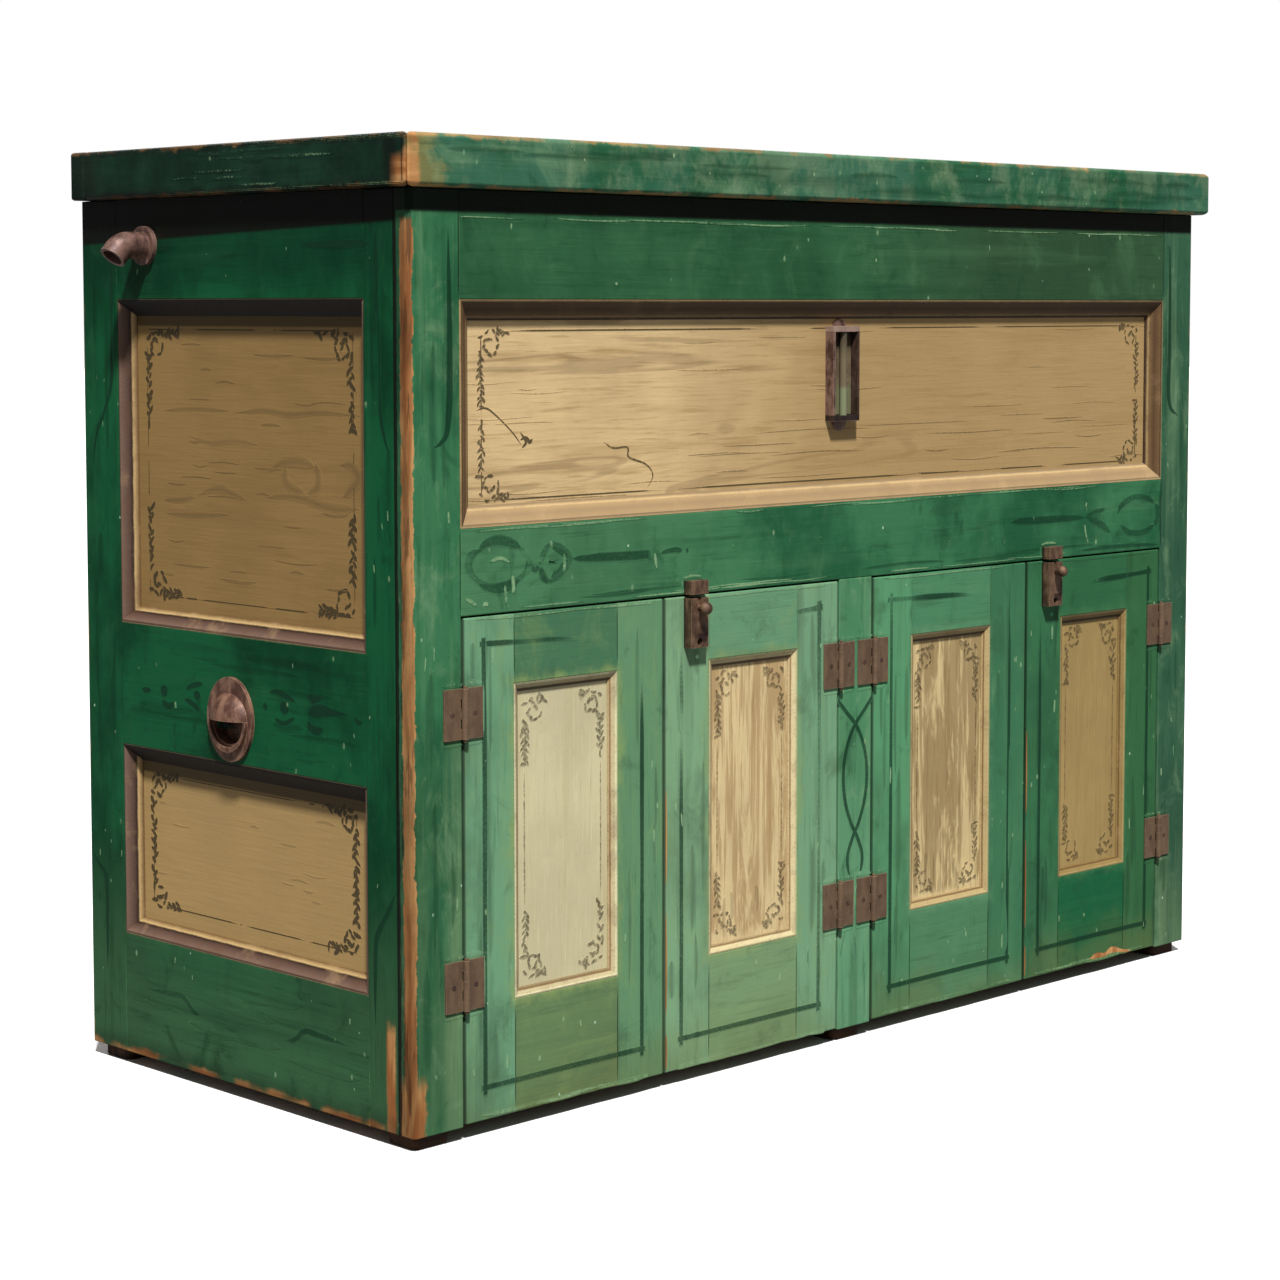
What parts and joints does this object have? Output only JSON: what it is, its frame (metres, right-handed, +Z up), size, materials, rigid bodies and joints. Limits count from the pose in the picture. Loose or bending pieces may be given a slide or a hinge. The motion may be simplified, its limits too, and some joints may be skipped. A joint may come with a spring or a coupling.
{
  "type": "dry sink cabinet",
  "caption": "Panelled wooden dry sink cabinet with a hinged lid over a metal-lined tank, framed cupboard doors below, iron hinges, catches, lift handles and a drain spout.",
  "frame": {"origin": "centre of the outer box, on the floor", "axes": "+X along the front to the right, +Y from the front to the back, +Z up"},
  "size_m": [1.3236, 0.568, 0.9645],
  "materials": {
    "green_paint": "worn green milk paint on pine",
    "panel_paint": "yellowed cream paint with dark stencilled scrolls",
    "moulding_paint": "worn varnished moulding",
    "lid_paint": "rubbed dark paint over tan wood",
    "inner_wood": "bare aged pine",
    "foot_wood": "dark stained block",
    "zinc": "dull galvanised sheet",
    "iron": "rusted brown iron",
    "scale_enamel": "aged enamel plate",
    "glass": "clear glass tube"
  },
  "bodies": {
    "cabinet": {"front_stile_left": "green_paint", "front_stile_right": "green_paint", "front_stile_centre": "green_paint", "front_rail_top": "green_paint", "front_rail_middle": "green_paint", "front_panel": "panel_paint", "front_moulding": "moulding_paint", "left_side_stile_front": "green_paint", "left_side_stile_back": "green_paint", "left_side_rails": "green_paint", "left_side_panels": "panel_paint", "left_side_mouldings": "moulding_paint", "right_side_stile_front": "green_paint", "right_side_stile_back": "green_paint", "right_side_rails": "green_paint", "right_side_panels": "panel_paint", "right_side_mouldings": "moulding_paint", "back_boards": "inner_wood", "floor_boards": "inner_wood", "tank_deck": "inner_wood", "centre_partition": "inner_wood", "tank_liner": "zinc", "front_feet": "foot_wood", "back_feet": "foot_wood", "lid_hinge_fixed_leaves": "iron", "door_hinge_fixed_leaves": "iron", "left_catch_keeper": "iron", "right_catch_keeper": "iron", "thermometer_case": "iron", "thermometer_scale": "scale_enamel", "thermometer_tube": "glass", "drain_spout": "iron", "left_lift_handle": "iron", "right_lift_handle": "iron"},
    "lid": {"lid_rim_front": "lid_paint", "lid_rim_left": "lid_paint", "lid_rim_right": "lid_paint", "lid_rim_back": "lid_paint", "lid_boards": "lid_paint", "lid_hinge_leaves": "iron"},
    "door_1": {"door_1_frame": "green_paint", "door_1_panel": "panel_paint", "door_1_moulding": "moulding_paint", "door_1_hinge_leaves": "iron"},
    "door_2": {"door_2_frame": "green_paint", "door_2_panel": "panel_paint", "door_2_moulding": "moulding_paint", "door_2_hinge_leaves": "iron", "left_catch_housing": "iron"},
    "door_3": {"door_3_frame": "green_paint", "door_3_panel": "panel_paint", "door_3_moulding": "moulding_paint", "door_3_hinge_leaves": "iron"},
    "door_4": {"door_4_frame": "green_paint", "door_4_panel": "panel_paint", "door_4_moulding": "moulding_paint", "door_4_hinge_leaves": "iron", "right_catch_housing": "iron"},
    "left_catch": {"left_catch_bolt": "iron"},
    "right_catch": {"right_catch_bolt": "iron"}
  },
  "joints": [
    {"name": "lid_hinge", "type": "hinge", "parent": "cabinet", "child": "lid", "pos_m": [0.01683, 0.2805, 0.91425], "axis": [-1, 0, 0], "range_deg": [0, 100]},
    {"name": "door_1_hinge", "type": "hinge", "parent": "cabinet", "child": "door_1", "pos_m": [-0.54692, -0.2615, 0.016], "axis": [0, 0, -1], "range_deg": [0, 170]},
    {"name": "door_2_hinge", "type": "hinge", "parent": "cabinet", "child": "door_2", "pos_m": [-0.00742, -0.2615, 0.016], "axis": [0, 0, 1], "range_deg": [0, 90]},
    {"name": "door_3_hinge", "type": "hinge", "parent": "cabinet", "child": "door_3", "pos_m": [0.04808, -0.2615, 0.016], "axis": [0, 0, -1], "range_deg": [0, 90]},
    {"name": "door_4_hinge", "type": "hinge", "parent": "cabinet", "child": "door_4", "pos_m": [0.58158, -0.2615, 0.016], "axis": [0, 0, 1], "range_deg": [0, 170]},
    {"name": "left_catch_slide", "type": "slide", "parent": "door_2", "child": "left_catch", "axis": [0, 0, 1], "range_m": [0, 0.0085]},
    {"name": "right_catch_slide", "type": "slide", "parent": "door_4", "child": "right_catch", "axis": [0, 0, 1], "range_m": [0, 0.0085]}
  ]
}
